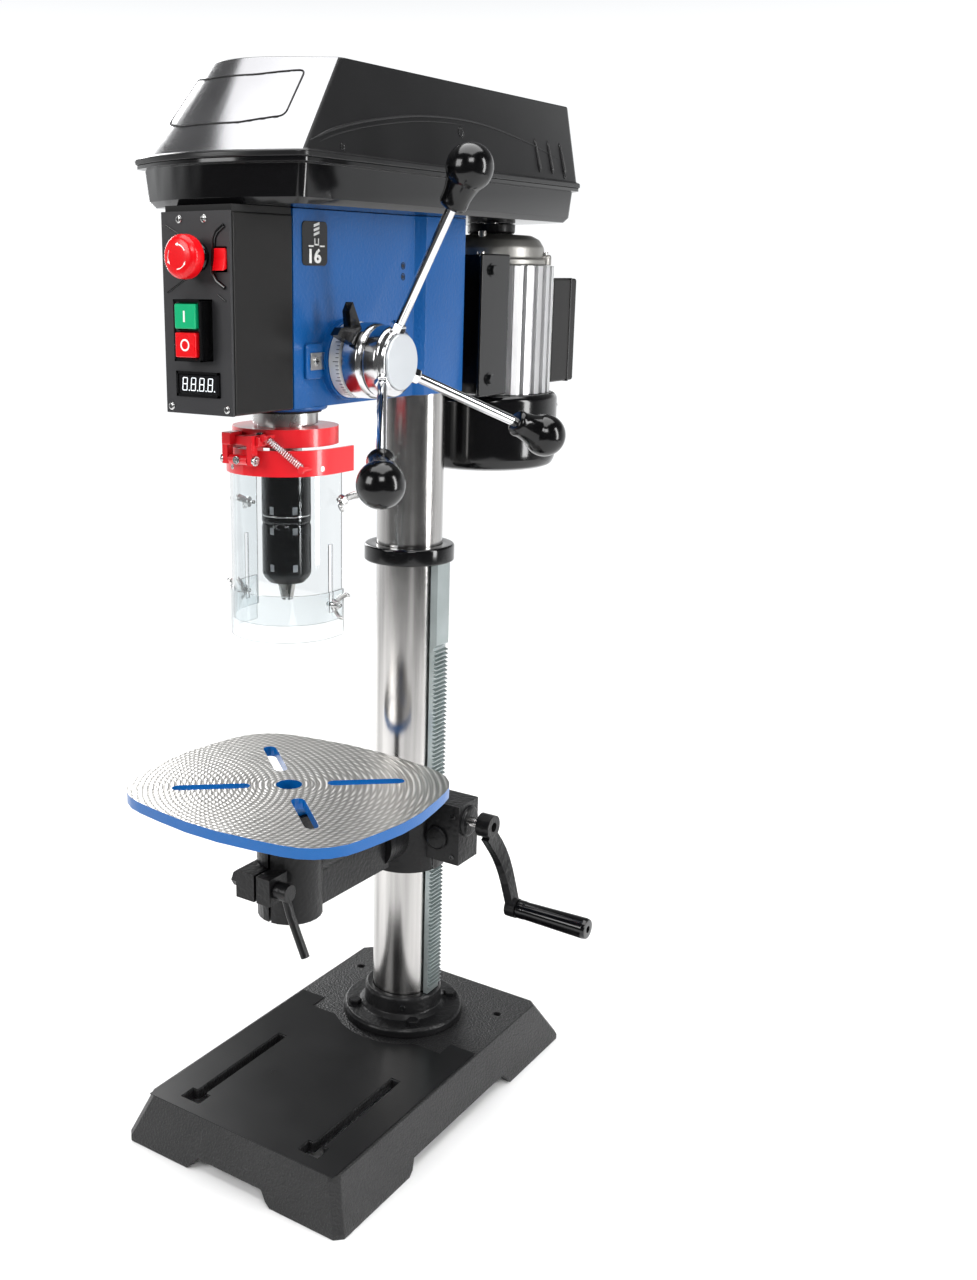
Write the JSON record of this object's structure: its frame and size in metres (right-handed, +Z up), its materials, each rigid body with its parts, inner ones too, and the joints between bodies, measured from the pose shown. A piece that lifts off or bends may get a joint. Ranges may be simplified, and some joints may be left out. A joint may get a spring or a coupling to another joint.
{
  "type": "drill press",
  "caption": "Bench drill press: slotted base, column, rack-and-crank tilting table, geared quill with chuck and guard, belt case, rear motor.",
  "frame": {"origin": "on the floor under the middle of the whole machine's plan", "axes": "+Z up along the column, -Y towards the operator, +X to the operator's right"},
  "size_m": [0.3678, 0.643, 1.054],
  "materials": {
    "cast_black": "hammered black enamel",
    "steel": "ground and polished",
    "dark_steel": "blackened",
    "zinc": "zinc plated",
    "blue_paint": "blue hammered paint",
    "black_plastic": "satin",
    "panel": "fine texture",
    "gloss_black": "gloss",
    "red_plastic": "moulded",
    "green_plastic": "moulded",
    "clear": "clear polycarbonate",
    "aluminium": "die cast and extruded",
    "chrome": "polished",
    "rubber": "matt",
    "display": "dark window"
  },
  "bodies": {
    "frame": {"base": "cast_black", "column_flange": "cast_black", "column": "steel", "rack_ring": "cast_black", "head_casting": "blue_paint", "control_box": "panel", "control_panel": "panel", "switch_housing": "black_plastic", "speed_display": "display", "belt_tray": "gloss_black", "motor_body": "aluminium", "motor_end_bell": "aluminium", "fan_cover": "gloss_black", "terminal_box": "black_plastic", "cable_gland": "rubber", "motor_bracket": "gloss_black", "v_belt": "rubber", "return_spring_case": "black_plastic"},
    "belt_lid": {"lid": "black_plastic"},
    "motor_rotor": {"motor_shaft": "steel", "motor_pulley": "aluminium", "cooling_fan": "black_plastic"},
    "spindle_drive": {"spindle_pulley": "aluminium"},
    "quill_unit": {"quill": "steel", "guard_clamp_ring": "red_plastic", "guard_hinge_pin": "steel"},
    "spindle_unit": {"spindle": "steel", "chuck_body": "dark_steel"},
    "chuck_shell": {"chuck_sleeve": "dark_steel"},
    "jaw_a": {"chuck_jaw_1": "steel"},
    "jaw_b": {"chuck_jaw_2": "steel"},
    "jaw_c": {"chuck_jaw_3": "steel"},
    "feed_unit": {"feed_shaft": "steel", "feed_hub": "chrome", "hub_cap": "aluminium", "feed_lever_1": "chrome", "feed_lever_2": "chrome", "feed_lever_3": "chrome", "lever_knob_1": "gloss_black", "lever_knob_2": "gloss_black", "lever_knob_3": "gloss_black"},
    "depth_stop": {"depth_ring": "dark_steel"},
    "depth_lock": {"depth_lock_knob": "black_plastic"},
    "guard": {"guard_carrier": "red_plastic", "shield_upper": "clear"},
    "guard_skirt": {"shield_lower": "clear"},
    "rack_unit": {"rack": "zinc"},
    "support": {"table_support": "cast_black"},
    "gear": {"height_gear": "steel"},
    "crank": {"worm_shaft": "steel", "crank_arm": "cast_black"},
    "grip": {"crank_grip": "gloss_black"},
    "support_lock": {"support_lock_lever": "black_plastic"},
    "arm": {"table_arm": "cast_black"},
    "arm_clamp": {"table_clamp_lever": "black_plastic"},
    "table_unit": {"table": "steel"},
    "estop": {"estop_button": "red_plastic"},
    "start": {"start_button": "green_plastic"},
    "stop": {"stop_button": "red_plastic"},
    "rocker": {"rocker_switch": "red_plastic"}
  },
  "joints": [
    {"name": "lid_open", "type": "hinge", "parent": "frame", "child": "belt_lid", "pos_m": [-0.13343, 0.0325, 0.9723], "axis": [0, -1, 0], "range_deg": [0, 95]},
    {"name": "motor_spin", "type": "hinge", "parent": "frame", "child": "motor_rotor", "pos_m": [-0.03843, 0.1875, 0.8], "axis": [0, 0, 1], "continuous": true},
    {"name": "spindle_pulley_spin", "type": "hinge", "parent": "frame", "child": "spindle_drive", "pos_m": [-0.03843, -0.1785, 0.96], "axis": [0, 0, 1], "continuous": true},
    {"name": "quill_feed", "type": "slide", "parent": "frame", "child": "quill_unit", "axis": [0, 0, -1], "range_m": [0, 0.08], "stiffness_N_per_m": 250, "springref_m": -0.3},
    {"name": "feed_turn", "type": "hinge", "parent": "frame", "child": "feed_unit", "pos_m": [0.02157, -0.1385, 0.808], "axis": [1, 0, 0], "range_deg": [0, 340]},
    {"name": "spindle_spin", "type": "hinge", "parent": "quill_unit", "child": "spindle_unit", "pos_m": [-0.03843, -0.1785, 0.72], "axis": [0, 0, 1], "continuous": true},
    {"name": "chuck_twist", "type": "hinge", "parent": "spindle_unit", "child": "chuck_shell", "pos_m": [-0.03843, -0.1785, 0.64], "axis": [0, 0, 1], "range_deg": [0, 1440]},
    {"name": "jaw_slide_1", "type": "slide", "parent": "spindle_unit", "child": "jaw_a", "axis": [0.1045, 0, 0.9945], "range_m": [0, 0.0101]},
    {"name": "jaw_slide_2", "type": "slide", "parent": "spindle_unit", "child": "jaw_b", "axis": [-0.0523, 0.0905, 0.9945], "range_m": [0, 0.0101]},
    {"name": "jaw_slide_3", "type": "slide", "parent": "spindle_unit", "child": "jaw_c", "axis": [-0.0523, -0.0905, 0.9945], "range_m": [0, 0.0101]},
    {"name": "depth_ring_turn", "type": "hinge", "parent": "feed_unit", "child": "depth_stop", "pos_m": [0.02157, -0.1385, 0.808], "axis": [1, 0, 0], "range_deg": [-270, 0]},
    {"name": "depth_lock_turn", "type": "hinge", "parent": "depth_stop", "child": "depth_lock", "pos_m": [0.02872, -0.1385, 0.808], "axis": [0, -0.766, 0.6428], "range_deg": [-180, 180]},
    {"name": "guard_swing", "type": "hinge", "parent": "quill_unit", "child": "guard", "pos_m": [-0.04143, -0.2405, 0.724], "axis": [-1, 0, 0], "range_deg": [0, 90], "stiffness_Nm_per_rad": 0.4, "springref_deg": -68.75},
    {"name": "guard_height", "type": "slide", "parent": "guard", "child": "guard_skirt", "axis": [0, 0, 1], "range_m": [0, 0.05]},
    {"name": "table_swing", "type": "hinge", "parent": "frame", "child": "rack_unit", "pos_m": [-0.03843, 0.0325, 0.3], "axis": [0, 0, 1], "range_deg": [-180, 180]},
    {"name": "table_height", "type": "slide", "parent": "rack_unit", "child": "support", "axis": [0, 0, 1], "range_m": [-0.14, 0.15]},
    {"name": "height_gear_turn", "type": "hinge", "parent": "support", "child": "gear", "pos_m": [0.01607, 0.0325, 0.289], "axis": [0, 1, 0], "range_deg": [-717, 669]},
    {"name": "crank_turn", "type": "hinge", "parent": "support", "child": "crank", "pos_m": [0.01607, 0.0325, 0.3085], "axis": [1, 0, 0], "range_deg": [-10700, 11460]},
    {"name": "crank_grip_spin", "type": "hinge", "parent": "crank", "child": "grip", "pos_m": [0.13157, 0.04934, 0.21297], "axis": [1, 0, 0], "continuous": true},
    {"name": "support_lock_turn", "type": "hinge", "parent": "support", "child": "support_lock", "pos_m": [-0.10243, 0.0325, 0.288], "axis": [1, 0, 0], "range_deg": [-60, 60]},
    {"name": "table_tilt", "type": "hinge", "parent": "support", "child": "arm", "pos_m": [-0.03843, -0.0298, 0.288], "axis": [0, 1, 0], "range_deg": [-45, 45]},
    {"name": "arm_clamp_turn", "type": "hinge", "parent": "arm", "child": "arm_clamp", "pos_m": [-0.03843, -0.2215, 0.306], "axis": [1, 0, 0], "range_deg": [-60, 60]},
    {"name": "table_turn", "type": "hinge", "parent": "arm", "child": "table_unit", "pos_m": [-0.03843, -0.1785, 0.34], "axis": [0, 0, 1], "continuous": true},
    {"name": "estop_press", "type": "slide", "parent": "frame", "child": "estop", "axis": [0, 1, 0], "range_m": [0, 0.004]},
    {"name": "start_press", "type": "slide", "parent": "frame", "child": "start", "axis": [0, 1, 0], "range_m": [0, 0.003], "stiffness_N_per_m": 400},
    {"name": "stop_press", "type": "slide", "parent": "frame", "child": "stop", "axis": [0, 1, 0], "range_m": [0, 0.003], "stiffness_N_per_m": 400},
    {"name": "rocker_tip", "type": "hinge", "parent": "frame", "child": "rocker", "pos_m": [-0.01093, -0.2955, 0.894], "axis": [1, 0, 0], "range_deg": [0, 10]}
  ],
  "couplings": [
    {"joint": "spindle_pulley_spin", "follows": "motor_spin", "ratio": 0.5},
    {"joint": "spindle_spin", "follows": "motor_spin", "ratio": 0.5},
    {"joint": "feed_turn", "follows": "quill_feed", "rad_per_m": 74.074},
    {"joint": "height_gear_turn", "follows": "table_height", "rad_per_m": -83.333},
    {"joint": "crank_turn", "follows": "table_height", "rad_per_m": 1333.3},
    {"joint": "jaw_slide_1", "follows": "chuck_twist", "m_per_rad": 0.00039789},
    {"joint": "jaw_slide_2", "follows": "chuck_twist", "m_per_rad": 0.00039789},
    {"joint": "jaw_slide_3", "follows": "chuck_twist", "m_per_rad": 0.00039789}
  ]
}
